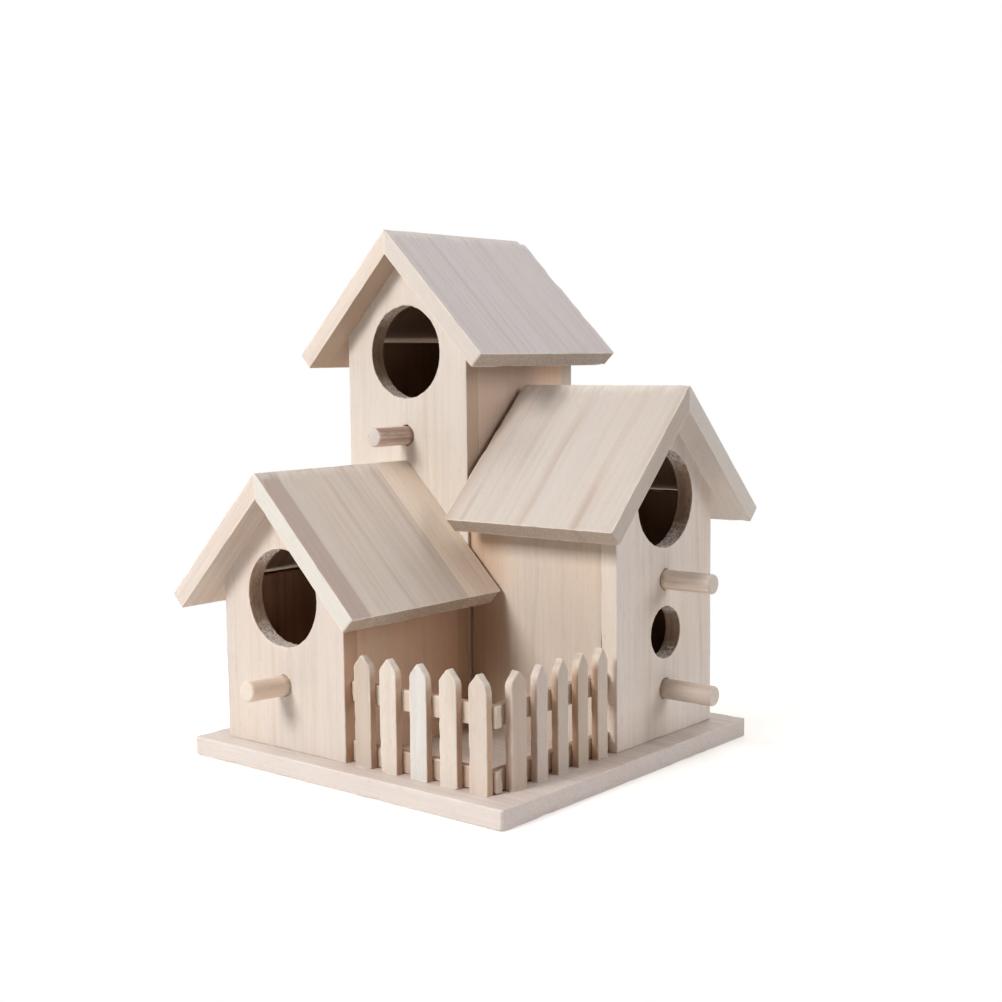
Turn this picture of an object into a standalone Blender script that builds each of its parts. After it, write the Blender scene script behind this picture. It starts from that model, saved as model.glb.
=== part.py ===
"""Birdhouse village: three gabled wooden houses and a picket fence on one square base.

Lengths are in metres and Z is up. The origin is the centre of the underside of the base.
The front house and the tall house look along -Y, and the side house looks along +X.
Every house is its own box of boards. Its heights are measured from the top of the base.
"""
import math
from dataclasses import dataclass

import bmesh
import bpy

# Joinery that every piece shares
SEAM = 0.0003                # left open between two pieces that touch
EDGE_RADIUS = 0.0006         # sanded edge of a board
RIM_BREAK = 0.0003           # the sharp rim taken off a drilled hole
CUT_OVERRUN = 0.002          # how far a cutter runs past the face that it cuts
EDGE_STEPS = 2
RIDGE_STEPS = 2
HOLE_STEPS = 48
DOWEL_STEPS = 28
CRISP_ANGLE = math.radians(35)

# Base board, which reaches past what stands on it by these margins
BASE_THICKNESS = 0.0072
BASE_CORNER_RADIUS = 0.0010
BASE_CORNER_STEPS = 4
LEFT_MARGIN = 0.0107         # to the left walls of the front and tall houses
RIGHT_MARGIN = 0.0102        # to the side house's front wall
FRONT_MARGIN = 0.0083        # to the front house's front wall
BACK_MARGIN = 0.0084         # to the tall house's back wall

# Wall and roof boards
WALL_THICKNESS = 0.0070
ROOF_THICKNESS = 0.0069
ROOF_PITCH = math.radians(45)
EAVE_CORNER_RADIUS = 0.0016  # worn corners at the two ends of an eave

# The front house and the tall house stand in a row and are equally wide
ROW_WIDTH = 0.0650

# Front house
FRONT_HOUSE_DEPTH = 0.0692
FRONT_HOUSE_EAVE_CLEARANCE = 0.0100  # lower edge of its eaves above the pickets
FRONT_HOUSE_RIDGE_ROUND = 0.0004     # radius that the ridge is sanded to
FRONT_HOUSE_ROOF_SLANT = 0.0697
FRONT_HOUSE_EAVE_GAP = 0.0004        # side wall's top below the shoulders of the gables
FRONT_HOUSE_PORCH = 0.0118           # roof past the front wall
FRONT_ENTRANCE_RADIUS = 0.0186
FRONT_ENTRANCE_SHARE = 0.546         # height of its centre, as a share of the ridge's
FRONT_PERCH_SHARE = 0.232
FRONT_PERCH_REACH = 0.0184           # perch past the front wall

# Side house
SIDE_HOUSE_WIDTH = 0.0655
SIDE_HOUSE_DEPTH = 0.0703
SIDE_HOUSE_SETBACK = 0.0013          # tall house's front to the side house's near wall
SIDE_HOUSE_EAVE_CLEARANCE = 0.0073   # above the front house's roof, where it passes over
SIDE_HOUSE_RIDGE_ROUND = 0.0004
SIDE_HOUSE_ROOF_SLANT = 0.0716
SIDE_HOUSE_EAVE_GAP = 0.0004
SIDE_HOUSE_PORCH = 0.0107
UPPER_ENTRANCE_RADIUS = 0.0187
UPPER_ENTRANCE_SHARE = 0.679
UPPER_PERCH_SHARE = 0.451
UPPER_PERCH_REACH = 0.0214
LOWER_ENTRANCE_RADIUS = 0.0101
LOWER_ENTRANCE_SHARE = 0.299
LOWER_PERCH_SHARE = 0.137
LOWER_PERCH_REACH = 0.0219

# Tall house
TALL_HOUSE_DEPTH = 0.0688
TALL_HOUSE_EAVE_CLEARANCE = 0.0074   # above the side house's ridge
TALL_HOUSE_RIDGE_ROUND = 0.0012
TALL_HOUSE_ROOF_SLANT = 0.0705
TALL_HOUSE_EAVE_GAP = 0.0016
TALL_HOUSE_PORCH = 0.0110
TALL_HOUSE_REAR_EAVE = 0.0072
TALL_ENTRANCE_RADIUS = 0.0187
TALL_ENTRANCE_SHARE = 0.471          # of the way up from the front house's ridge
TALL_PERCH_SHARE = 0.107
TALL_PERCH_REACH = 0.0193

# Perch dowels
PERCH_RADIUS = 0.0039
PERCH_SOCKET_DEPTH = 0.0050  # blind hole in the front wall
PERCH_TIP_RADIUS = 0.0008

# Picket fence
PICKETS_PER_RUN = 5
PICKET_WIDTH = 0.0080        # the front run, and the side run's first picket
SIDE_PICKET_WIDTH = 0.0061   # the other pickets of the side run
PICKET_HEIGHT = 0.0415
PICKET_POINT = 0.0043        # height of the pointed top
PICKET_THICKNESS = 0.0032
PICKET_EDGE_RADIUS = 0.0005
FRONT_RUN_SETBACK = 0.0035   # side run's outer face to the front run's last picket
SIDE_RUN_SETBACK = 0.0095    # front run's outer face to the side run's first picket
FRONT_RUN_SLIP_SHARES = (-0.09, -0.23, -0.04, 0.04, 0.04)  # of the gap between two pickets

# Fence rails
RAIL_HEIGHT = 0.0077
RAIL_THICKNESS = 0.0030
RAIL_SPACING = 0.0223        # lower edge of the lower rail to lower edge of the upper rail
RAIL_END_SETBACK = 0.0019    # side run's outer face to the ends of the front rails

# Timber colours
PALE_PINE = (0.72, 0.60, 0.47, 1.0)
ROOF_PINE = (0.62, 0.52, 0.42, 1.0)
FENCE_PINE = (0.75, 0.66, 0.54, 1.0)
BASE_PINE = (0.70, 0.59, 0.47, 1.0)
PERCH_WOOD = (0.50, 0.38, 0.28, 1.0)
RAW_ROUGHNESS = 0.7
SANDED_ROUGHNESS = 0.55


@dataclass
class Entrance:
    """A round way in, and the perch below it."""
    perch_name: str
    radius: float
    height: float
    perch_height: float
    perch_reach: float


@dataclass
class House:
    """One gabled house. In its own frame it looks along -Y, with its front wall at y = 0."""
    name: str
    width: float
    depth: float
    ridge: float
    ridge_round: float
    roof_slant: float
    eave_gap: float
    porch: float
    rear_eave: float
    entrances: tuple


def clear_scene():
    for leftover in list(bpy.data.objects):
        bpy.data.objects.remove(leftover, do_unlink=True)


def timber(name, colour, roughness=RAW_ROUGHNESS):
    """A bare wood material for one piece."""
    material = bpy.data.materials.new(name)
    material.use_nodes = True
    shader = material.node_tree.nodes["Principled BSDF"]
    shader.inputs["Base Color"].default_value = colour
    shader.inputs["Roughness"].default_value = roughness
    shader.inputs["Metallic"].default_value = 0
    return material


def add_piece(name, mesh, material, parent, location):
    """Place one finished mesh as a named piece of its parent."""
    mesh.shade_smooth()
    mesh.set_sharp_from_angle(angle=CRISP_ANGLE)
    mesh.materials.append(material)
    piece = bpy.data.objects.new(name, mesh)
    bpy.context.collection.objects.link(piece)
    piece.parent = parent
    piece.location = location
    return piece


def add_frame(name, location, turn=0):
    """An empty that carries the pieces of a house or of a fence run."""
    frame = bpy.data.objects.new(name, None)
    bpy.context.collection.objects.link(frame)
    frame.location = location
    frame.rotation_euler = (0, 0, turn)
    return frame


def push_outline(corners, along):
    """A board with sharp edges: a flat outline pushed along a vector."""
    shape = bmesh.new()
    outline = shape.faces.new([shape.verts.new(corner) for corner in corners])
    grown = bmesh.ops.extrude_face_region(shape, geom=[outline])["geom"]
    pushed = [item for item in grown if isinstance(item, bmesh.types.BMVert)]
    bmesh.ops.translate(shape, verts=pushed, vec=along)
    bmesh.ops.recalc_face_normals(shape, faces=shape.faces)
    return shape


def round_edges(shape, edges, radius, steps):
    bmesh.ops.bevel(shape, geom=edges, offset=radius, offset_type="OFFSET", segments=steps,
                    profile=0.5, affect="EDGES", clamp_overlap=True)


def sharp_edges(shape):
    return [edge for edge in shape.edges if edge.calc_face_angle() > CRISP_ANGLE]


def finished_mesh(name, shape):
    mesh = bpy.data.meshes.new(name)
    shape.to_mesh(mesh)
    shape.free()
    return mesh


def slab_mesh(name, corners, along, radius):
    """A board whose sharp edges are all sanded round."""
    shape = push_outline(corners, along)
    round_edges(shape, sharp_edges(shape), radius, EDGE_STEPS)
    return finished_mesh(name, shape)


def turned_mesh(name, profile, steps):
    """A solid turned about the Y axis from (radius, y) points that start and end on the axis."""
    shape = bmesh.new()
    rim = [shape.verts.new((radius, y, 0)) for radius, y in profile]
    edges = [shape.edges.new(pair) for pair in zip(rim, rim[1:])]
    bmesh.ops.spin(shape, geom=rim + edges, cent=(0, 0, 0), axis=(0, 1, 0), angle=math.tau,
                   steps=steps, use_merge=True)
    bmesh.ops.remove_doubles(shape, verts=shape.verts, dist=SEAM / steps)
    bmesh.ops.recalc_face_normals(shape, faces=shape.faces)
    return finished_mesh(name, shape)


def cut(piece, name, mesh, location):
    """Take a turned shape out of a piece."""
    cutter = bpy.data.objects.new(name, mesh)
    bpy.context.collection.objects.link(cutter)
    cutter.parent = piece
    cutter.location = location
    cutter.hide_render = True
    cutter.display_type = "WIRE"
    opening = piece.modifiers.new(name, "BOOLEAN")
    opening.operation = "DIFFERENCE"
    opening.solver = "EXACT"
    opening.object = cutter


def socket_profile(radius, depth):
    """A blind hole from the front, with a flat bottom."""
    return [(0, -CUT_OVERRUN), (radius, -CUT_OVERRUN), (radius, depth), (0, depth)]


def hole_profile(radius, depth):
    """Straight through a board of this depth, with the rim broken on both faces."""
    flare = radius + RIM_BREAK + CUT_OVERRUN
    return [(0, -CUT_OVERRUN), (flare, -CUT_OVERRUN), (radius, RIM_BREAK),
            (radius, depth - RIM_BREAK), (flare, depth + CUT_OVERRUN), (0, depth + CUT_OVERRUN)]


def arc(centre, radius, start, sweep, steps):
    """Points about a centre, from the start angle through the sweep."""
    turns = [start + sweep * step / steps for step in range(steps + 1)]
    return [(centre[0] + radius * math.cos(turn), centre[1] + radius * math.sin(turn)) for turn in turns]


def build_base(width, depth):
    """The board that everything stands on, with its corners rounded in plan."""
    right = width / 2 - BASE_CORNER_RADIUS
    back = depth / 2 - BASE_CORNER_RADIUS
    corners = [(right, back), (-right, back), (-right, -back), (right, -back)]
    outline = []
    for quarter, centre in enumerate(corners):
        outline += arc(centre, BASE_CORNER_RADIUS, quarter * math.pi / 2, math.pi / 2, BASE_CORNER_STEPS)
    flat = [(x, y, 0) for x, y in outline]
    mesh = slab_mesh("base_board", flat, (0, 0, BASE_THICKNESS), EDGE_RADIUS)
    add_piece("base_board", mesh, timber("base_pine", BASE_PINE), None, (0, 0, 0))


def gable_heights(house):
    """Where a front or back wall turns in at its shoulders, and where its slopes meet."""
    peak = house.ridge - (ROOF_THICKNESS + SEAM) / math.cos(ROOF_PITCH)
    return peak - house.width / 2 * math.tan(ROOF_PITCH), peak


def build_gables(house, frame):
    """The back wall, and the front wall with its entrances and perch sockets.

    Their slopes carry the roof boards.
    """
    half = house.width / 2
    shoulder, peak = gable_heights(house)
    corners = [(-half, 0, SEAM), (half, 0, SEAM), (half, 0, shoulder),
               (0, 0, peak), (-half, 0, shoulder)]
    through = (0, WALL_THICKNESS, 0)
    for side, y in (("front", 0), ("back", house.depth - WALL_THICKNESS)):
        name = f"{house.name}_{side}_wall"
        mesh = slab_mesh(name, corners, through, EDGE_RADIUS)
        wall = add_piece(name, mesh, timber(name, PALE_PINE), frame, (0, y, 0))
        if side == "front":
            for entrance in house.entrances:
                cut_entrance(wall, entrance)


def cut_entrance(wall, entrance):
    """One round entrance, and the blind socket that holds its perch."""
    hole = turned_mesh("entrance_cutter", hole_profile(entrance.radius, WALL_THICKNESS), HOLE_STEPS)
    cut(wall, f"{entrance.perch_name}_entrance", hole, (0, 0, entrance.height))
    bore = socket_profile(PERCH_RADIUS + SEAM, PERCH_SOCKET_DEPTH)
    socket = turned_mesh("socket_cutter", bore, DOWEL_STEPS)
    cut(wall, f"{entrance.perch_name}_socket", socket, (0, 0, entrance.perch_height))


def build_side_walls(house, frame):
    """Two square-cut walls between the gables, which stop short of the roof."""
    length = house.depth - (WALL_THICKNESS + SEAM) * 2
    shoulder, _ = gable_heights(house)
    top = shoulder - house.eave_gap
    half = WALL_THICKNESS / 2
    corners = [(-half, 0, SEAM), (half, 0, SEAM), (half, 0, top), (-half, 0, top)]
    for side, sign in (("left", -1), ("right", 1)):
        name = f"{house.name}_{side}_wall"
        mesh = slab_mesh(name, corners, (0, length, 0), EDGE_RADIUS)
        place = (sign * (house.width / 2 - half), WALL_THICKNESS + SEAM, 0)
        add_piece(name, mesh, timber(name, PALE_PINE), frame, place)


def eave_depth(roof_slant):
    """How far the lower edge of a roof's eave lies below its ridge."""
    return roof_slant * math.sin(ROOF_PITCH) + ROOF_THICKNESS * math.cos(ROOF_PITCH)


def roof_profile(house):
    """The (x, z) outline of a right-hand roof board, seen from the front.

    It is mitred where it meets its partner at x = 0, sanded round on the ridge, and cut square at
    the eave. Its last point is the top of the eave.
    """
    run = house.roof_slant * math.cos(ROOF_PITCH)
    drop = house.roof_slant * math.sin(ROOF_PITCH)
    inset = ROOF_THICKNESS * math.sin(ROOF_PITCH)
    fall = ROOF_THICKNESS * math.cos(ROOF_PITCH)
    mitre = SEAM / 2
    eave = house.ridge - drop
    underside = house.ridge - ROOF_THICKNESS / math.cos(ROOF_PITCH) - mitre * math.tan(ROOF_PITCH)
    crown = (0, house.ridge - house.ridge_round / math.cos(ROOF_PITCH))
    flat = math.pi / 2 - ROOF_PITCH
    steep = math.acos(mitre / house.ridge_round)
    ridge = arc(crown, house.ridge_round, flat, steep - flat, RIDGE_STEPS)
    return ridge + [(mitre, underside), (run - inset, eave - fall), (run, eave)]


def roof_board_mesh(name, profile, sign, length):
    """One roof board, with the corners of its eave rounded and its edges sanded off the mitre."""
    corners = [(sign * x, 0, z) for x, z in profile]
    shape = push_outline(corners, (0, length, 0))
    near_eave = profile[-1][0] - ROOF_THICKNESS
    eave_ends = [edge for edge in shape.edges if edge.verts[0].co.y == edge.verts[1].co.y
                 and min(abs(vert.co.x) for vert in edge.verts) > near_eave]
    round_edges(shape, eave_ends, EAVE_CORNER_RADIUS, EDGE_STEPS)
    sanded = [edge for edge in sharp_edges(shape) if max(abs(vert.co.x) for vert in edge.verts) > SEAM]
    round_edges(shape, sanded, EDGE_RADIUS, EDGE_STEPS)
    return finished_mesh(name, shape)


def build_roof(house, frame):
    """Two boards that lean on each other at the ridge."""
    profile = roof_profile(house)
    length = house.porch + house.depth + house.rear_eave
    for side, sign in (("left", -1), ("right", 1)):
        name = f"{house.name}_{side}_roof"
        mesh = roof_board_mesh(name, profile, sign, length)
        add_piece(name, mesh, timber(name, ROOF_PINE), frame, (0, -house.porch, 0))


def build_perch(entrance, frame):
    """A dowel whose inner end stands in its socket and whose tip is sanded round."""
    tip = arc((PERCH_RADIUS - PERCH_TIP_RADIUS, PERCH_TIP_RADIUS - entrance.perch_reach),
              PERCH_TIP_RADIUS, -math.pi / 2, math.pi / 2, EDGE_STEPS)
    seat = PERCH_SOCKET_DEPTH - SEAM
    profile = [(0, -entrance.perch_reach)] + tip + [(PERCH_RADIUS, seat), (0, seat)]
    mesh = turned_mesh(entrance.perch_name, profile, DOWEL_STEPS)
    material = timber(entrance.perch_name, PERCH_WOOD, SANDED_ROUGHNESS)
    add_piece(entrance.perch_name, mesh, material, frame, (0, 0, entrance.perch_height))


def build_house(house, location, turn=0):
    frame = add_frame(house.name, location, turn)
    build_gables(house, frame)
    build_side_walls(house, frame)
    build_roof(house, frame)
    for entrance in house.entrances:
        build_perch(entrance, frame)


def build_run(name, start, end, widths, slip_shares, frame):
    """Pointed pickets along one side of the yard, with equal gaps but for small slips.

    A run goes along its frame's +X, and the outer faces of its pickets are at y = 0.
    """
    gap = (end - start - sum(widths)) / len(widths)
    x = start
    for number, (width, slip) in enumerate(zip(widths, slip_shares), 1):
        half = width / 2
        shoulder = PICKET_HEIGHT - PICKET_POINT
        corners = [(-half, 0, SEAM), (half, 0, SEAM), (half, 0, shoulder),
                   (0, 0, PICKET_HEIGHT), (-half, 0, shoulder)]
        picket = f"{name}_picket_{number}"
        mesh = slab_mesh(picket, corners, (0, PICKET_THICKNESS, 0), PICKET_EDGE_RADIUS)
        place = (x + gap + half + slip * gap, 0, 0)
        add_piece(picket, mesh, timber(picket, FENCE_PINE), frame, place)
        x += gap + width


def build_rails(name, start, end, frame):
    """The lower and the upper rail behind a run of pickets."""
    place = (start, PICKET_THICKNESS + SEAM, 0)
    for level, bottom in (("lower", SEAM), ("upper", SEAM + RAIL_SPACING)):
        rail = f"{name}_{level}_rail"
        corners = [(0, 0, bottom), (end - start, 0, bottom),
                   (end - start, 0, bottom + RAIL_HEIGHT), (0, 0, bottom + RAIL_HEIGHT)]
        mesh = slab_mesh(rail, corners, (0, RAIL_THICKNESS, 0), PICKET_EDGE_RADIUS)
        add_piece(rail, mesh, timber(rail, FENCE_PINE), frame, place)


def build_fence(front_y, wall_x, side_x, wall_y):
    """The fence of the yard: a front run from the front house, and a side run to the side house."""
    front = add_frame("fence_front", (wall_x, front_y, BASE_THICKNESS))
    last = side_x - FRONT_RUN_SETBACK - wall_x
    build_run("fence_front", 0, last, [PICKET_WIDTH] * PICKETS_PER_RUN, FRONT_RUN_SLIP_SHARES, front)
    build_rails("fence_front", SEAM, side_x - RAIL_END_SETBACK - wall_x, front)

    side = add_frame("fence_side", (side_x, front_y, BASE_THICKNESS), math.pi / 2)
    widths = [PICKET_WIDTH] + [SIDE_PICKET_WIDTH] * (PICKETS_PER_RUN - 1)
    length = wall_y - front_y
    gap = (length - SIDE_RUN_SETBACK - sum(widths)) / PICKETS_PER_RUN
    build_run("fence_side", SIDE_RUN_SETBACK - gap, length - gap, widths, [0] * PICKETS_PER_RUN, side)
    behind_front_rail = PICKET_THICKNESS + SEAM + RAIL_THICKNESS + SEAM
    build_rails("fence_side", behind_front_rail, length - SEAM, side)


def make_front_house():
    ridge = PICKET_HEIGHT + FRONT_HOUSE_EAVE_CLEARANCE + eave_depth(FRONT_HOUSE_ROOF_SLANT)
    entrance = Entrance("front_house_perch", FRONT_ENTRANCE_RADIUS, FRONT_ENTRANCE_SHARE * ridge,
                        FRONT_PERCH_SHARE * ridge, FRONT_PERCH_REACH)
    return House("front_house", ROW_WIDTH, FRONT_HOUSE_DEPTH, ridge, FRONT_HOUSE_RIDGE_ROUND,
                 FRONT_HOUSE_ROOF_SLANT, FRONT_HOUSE_EAVE_GAP, FRONT_HOUSE_PORCH, 0, (entrance,))


def make_side_house(front_house):
    """The side house, whose near eave passes over the front house's roof."""
    roof_below = front_house.ridge - (ROW_WIDTH / 2 + SEAM) * math.tan(ROOF_PITCH)
    ridge = roof_below + SIDE_HOUSE_EAVE_CLEARANCE + eave_depth(SIDE_HOUSE_ROOF_SLANT)
    upper = Entrance("side_house_upper_perch", UPPER_ENTRANCE_RADIUS, UPPER_ENTRANCE_SHARE * ridge,
                     UPPER_PERCH_SHARE * ridge, UPPER_PERCH_REACH)
    lower = Entrance("side_house_lower_perch", LOWER_ENTRANCE_RADIUS, LOWER_ENTRANCE_SHARE * ridge,
                     LOWER_PERCH_SHARE * ridge, LOWER_PERCH_REACH)
    return House("side_house", SIDE_HOUSE_WIDTH, SIDE_HOUSE_DEPTH, ridge, SIDE_HOUSE_RIDGE_ROUND,
                 SIDE_HOUSE_ROOF_SLANT, SIDE_HOUSE_EAVE_GAP, SIDE_HOUSE_PORCH, 0, (upper, lower))


def make_tall_house(front_house, side_house):
    """The tall house, whose eave passes over the side house and whose perch clears the front one."""
    ridge = side_house.ridge + TALL_HOUSE_EAVE_CLEARANCE + eave_depth(TALL_HOUSE_ROOF_SLANT)
    rise = ridge - front_house.ridge
    entrance = Entrance("tall_house_perch", TALL_ENTRANCE_RADIUS,
                        front_house.ridge + TALL_ENTRANCE_SHARE * rise,
                        front_house.ridge + TALL_PERCH_SHARE * rise, TALL_PERCH_REACH)
    return House("tall_house", ROW_WIDTH, TALL_HOUSE_DEPTH, ridge, TALL_HOUSE_RIDGE_ROUND,
                 TALL_HOUSE_ROOF_SLANT, TALL_HOUSE_EAVE_GAP, TALL_HOUSE_PORCH,
                 TALL_HOUSE_REAR_EAVE, (entrance,))


def main():
    clear_scene()
    front_house = make_front_house()
    side_house = make_side_house(front_house)
    tall_house = make_tall_house(front_house, side_house)

    width = LEFT_MARGIN + ROW_WIDTH + SEAM + side_house.depth + RIGHT_MARGIN
    depth = FRONT_MARGIN + front_house.depth + SEAM + tall_house.depth + BACK_MARGIN
    build_base(width, depth)

    row_x = LEFT_MARGIN + ROW_WIDTH / 2 - width / 2
    front_y = FRONT_MARGIN - depth / 2
    tall_y = front_y + front_house.depth + SEAM
    build_house(front_house, (row_x, front_y, BASE_THICKNESS))
    build_house(tall_house, (row_x, tall_y, BASE_THICKNESS))

    side_x = width / 2 - RIGHT_MARGIN
    wall_y = tall_y + SIDE_HOUSE_SETBACK
    build_house(side_house, (side_x, wall_y + side_house.width / 2, BASE_THICKNESS), math.pi / 2)

    build_fence(front_y, row_x + ROW_WIDTH / 2, side_x, wall_y)


main()
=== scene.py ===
"""Looks of a wooden birdhouse village: three gabled houses and a picket fence on one base.

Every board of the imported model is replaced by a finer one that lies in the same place. A board
is made in its own space: X runs across its grain, Y goes in from the face that shows, and Z
runs along its grain. A house has a space of its own too: it looks along -Y, its front wall
stands at y = 0, and x = 0 is its middle. Lengths are in metres.
"""

import math
from dataclasses import dataclass, replace
from itertools import product

import bmesh
import bpy
from mathutils import Matrix, Vector, noise


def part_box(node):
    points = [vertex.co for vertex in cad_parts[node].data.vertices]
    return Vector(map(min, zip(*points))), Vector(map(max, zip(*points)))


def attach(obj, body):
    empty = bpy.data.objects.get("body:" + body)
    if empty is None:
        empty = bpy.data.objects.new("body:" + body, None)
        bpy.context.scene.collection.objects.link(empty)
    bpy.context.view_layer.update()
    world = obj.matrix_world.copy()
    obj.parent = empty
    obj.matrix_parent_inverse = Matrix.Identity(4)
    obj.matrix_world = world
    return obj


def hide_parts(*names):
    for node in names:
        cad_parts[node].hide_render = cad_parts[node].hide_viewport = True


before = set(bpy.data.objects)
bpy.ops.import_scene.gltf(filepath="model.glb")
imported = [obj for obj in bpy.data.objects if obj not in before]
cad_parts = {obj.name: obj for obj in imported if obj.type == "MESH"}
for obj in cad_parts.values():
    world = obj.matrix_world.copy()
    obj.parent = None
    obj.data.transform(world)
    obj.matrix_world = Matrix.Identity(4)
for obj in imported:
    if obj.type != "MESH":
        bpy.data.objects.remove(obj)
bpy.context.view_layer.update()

NOISE_SEED = 1               # without one, the edges would sway in another way on each run
noise.seed_set(NOISE_SEED)

# Joinery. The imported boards' edges are a little rounder than these finer ones.
POINT_LOSS = 0.0006 * (math.sqrt(2) - 1)  # what their rounding takes off a right-angled point
SANDED = 0.00042             # radius of an edge that shows
TIGHT = 0.00004              # radius of an edge that meets another board
TINY = 0.00001
ROOF_THICKNESS = 0.0069
CLOSING = 0.00029            # grown into each seam, so that a joint shows as a fine line
CRISP_ANGLE = math.radians(35)

SIDEWAYS = math.pi / 2

# How a board is cut up, and how its edges have worn
EDGE_STEPS = 3
NEAR_EDGE = 0.0010           # the outermost grid line on each face
CORNER_SHARES = (0.2, 0.45, 0.7, 1.0)  # grid lines in a rounded corner
WEAR_REACH = 0.0011          # how far the wear runs in from an edge
CHIP_SCALE = 210.0
CHIP_START = 0.12            # where the noise is lower, an edge is whole
SWAY_SCALE = 75.0
BASE_CORNER = 0.0013

# Roof boards
RIDGE_STEPS = 3
RIDGE_WEAR = 0.004           # how far down a board its worn ridge corner reaches
FRONT_EAVE_CORNER = 0.0010
DIAGONAL = 1.3               # a slanting direction's two parts add up to more

# Faces that take a second or third material: painted shade inside a house, and the bores a drill has cut
FACING = 0.8                 # how squarely such a face looks its way
SKIN = 0.0006                # how far off its place such a face may lie
SIDE_MARGIN = 0.001          # how far inside a house's outer faces its roof takes the painted shade
GABLE_MARGIN = 0.003

# Drilled holes
RIM_RADIUS = 0.0004
RIM_STEPS = 3
BORE_STEPS = 9
HOLE_TURNS = 144
TEAR_SCALE = 620.0
ENTRANCE_TEAR = 0.00042
SOCKET_TEAR = 0.0005
SOCKET_CLEARANCE = 0.00012
OVERRUN = 0.002

# Perches
DOWEL_TURNS = 56
DOWEL_STEPS = 22
TIP_RADIUS = 0.0009
TIP_STEPS = 4
DENTS = ((260, 0.00012), (900, 0.00003))  # how close together they are, and how deep
STAIN_REACH = 0.004          # how far glue has crept along a perch from its socket

# Pickets
HEAD_HEIGHT = 0.0046
HEAD_GAIN = 0.0003           # drawn on top, because blunting takes it off again
HEAD_CUTS = (0, 0, 0.0011, 0.0009, 0.0011)
ARC_STEP = math.radians(26)


@dataclass
class Kind:
    """How finely a kind of board is cut up, how far its edges sway and how deep they are chipped."""
    spacing: float
    sway: float
    chip: float


GABLE = Kind(0.0045, 0.00004, 0.0006)
SIDE_WALL = Kind(0.0045, 0.00004, 0.0005)
ROOF_BOARD = Kind(0.0045, 0.00005, 0.0008)
BASE_BOARD = Kind(0.0045, 0.00008, 0.0010)
PICKET = Kind(0.0016, 0.00007, 0.0006)
RAIL = Kind(0.0016, 0.00012, 0.0016)


# Shapes

def pushed(corners, along):
    """A board with sharp edges: a flat outline pushed along a vector."""
    shape = bmesh.new()
    outline = shape.faces.new([shape.verts.new(corner) for corner in corners])
    grown = bmesh.ops.extrude_face_region(shape, geom=[outline])["geom"]
    moved = [item for item in grown if isinstance(item, bmesh.types.BMVert)]
    bmesh.ops.translate(shape, verts=moved, vec=along)
    bmesh.ops.recalc_face_normals(shape, faces=shape.faces)
    return shape


def sides_of(shape):
    """The flat sides of a sharp board, each as a point on it and its outward direction."""
    shape.normal_update()
    return [(face.calc_center_median(), face.normal.copy()) for face in shape.faces]


def sand(shape, radius_of):
    """Rounds each sharp edge by its own radius: the edges that show first, then the joints."""
    for radius in (SANDED, TIGHT):
        edges = [edge for edge in shape.edges
                 if edge.calc_face_angle() > CRISP_ANGLE and radius_of(edge) == radius]
        bmesh.ops.bevel(shape, geom=edges, offset=radius, offset_type="OFFSET",
                        segments=EDGE_STEPS, profile=0.5, affect="EDGES", clamp_overlap=True)


def slice_through(shape, point, direction):
    parts = shape.verts[:] + shape.edges[:] + shape.faces[:]
    bmesh.ops.bisect_plane(shape, geom=parts, plane_co=point, plane_no=direction)


def cut_grid(shape, sides, kind, extra=()):
    """Cuts a board's faces into a grid, with closer lines near its edges and where asked."""
    spots = [vert.co for vert in shape.verts]
    for axis in (0, 2):
        low = min(spot[axis] for spot in spots)
        high = max(spot[axis] for spot in spots)
        direction = Vector([float(index == axis) for index in range(3)])
        count = max(1, round((high - low) / kind.spacing))
        for step in range(1, count):
            slice_through(shape, direction * (low + (high - low) * step / count), direction)
    for point, direction in sides:
        slice_through(shape, point - direction * NEAR_EDGE, direction)
    for point, direction in extra:
        slice_through(shape, point, direction)
    bmesh.ops.dissolve_degenerate(shape, dist=TINY, edges=shape.edges)


def edge_distance(spot, sides):
    """How far a spot is from the nearest sharp edge, and the way in from that edge."""
    nearest = sorted(((point - spot).dot(direction), index)
                     for index, (point, direction) in enumerate(sides))[:2]
    inward = -(sides[nearest[0][1]][1] + sides[nearest[1][1]][1])
    return math.hypot(max(nearest[0][0], 0), max(nearest[1][0], 0)), inward.normalized()


def use_board(shape, sides, kind, seed):
    """Lets a board's edges sway from the straight, and chips them."""
    shift = Vector((seed * 1.7, seed * 0.9, seed * 2.3))
    for vert in shape.verts:
        distance, inward = edge_distance(vert.co, sides)
        near = max(0, 1 - distance / (WEAR_REACH * 2))
        bite = max(0, noise.noise(vert.co * CHIP_SCALE + shift) - CHIP_START) * near * near
        wave = noise.noise_vector(vert.co * SWAY_SCALE + shift * 2)
        vert.co += inward * (bite * kind.chip) + Vector((wave.x, 0, wave.z * 0.5)) * kind.sway


def round_corners(shape, corners):
    """Rounds corners of a board in its own plane: each a spot, a reach inwards and a radius."""
    for corner, reach, radius in corners:
        centre = Vector((corner[0] + reach[0] * radius, 0, corner[1] + reach[1] * radius))
        for vert in shape.verts:
            offset = Vector(((centre.x - vert.co.x) * reach[0], (centre.z - vert.co.z) * reach[1]))
            if offset.x > 0 and offset.y > 0:
                scale = max(offset) / offset.length
                vert.co.x = centre.x - offset.x * scale * reach[0]
                vert.co.z = centre.z - offset.y * scale * reach[1]


def corner_lines(corners):
    """Grid lines that give such corners enough points to be rounded."""
    lines = []
    for (x, z), reach, radius in corners:
        for share in CORNER_SHARES:
            lines.append((Vector((x + reach[0] * radius * share, 0, 0)), Vector((1, 0, 0))))
            lines.append((Vector((0, 0, z + reach[1] * radius * share)), Vector((0, 0, 1))))
    return lines


def finished(name, shape):
    mesh = bpy.data.meshes.new(name)
    shape.to_mesh(mesh)
    shape.free()
    return mesh


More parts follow.
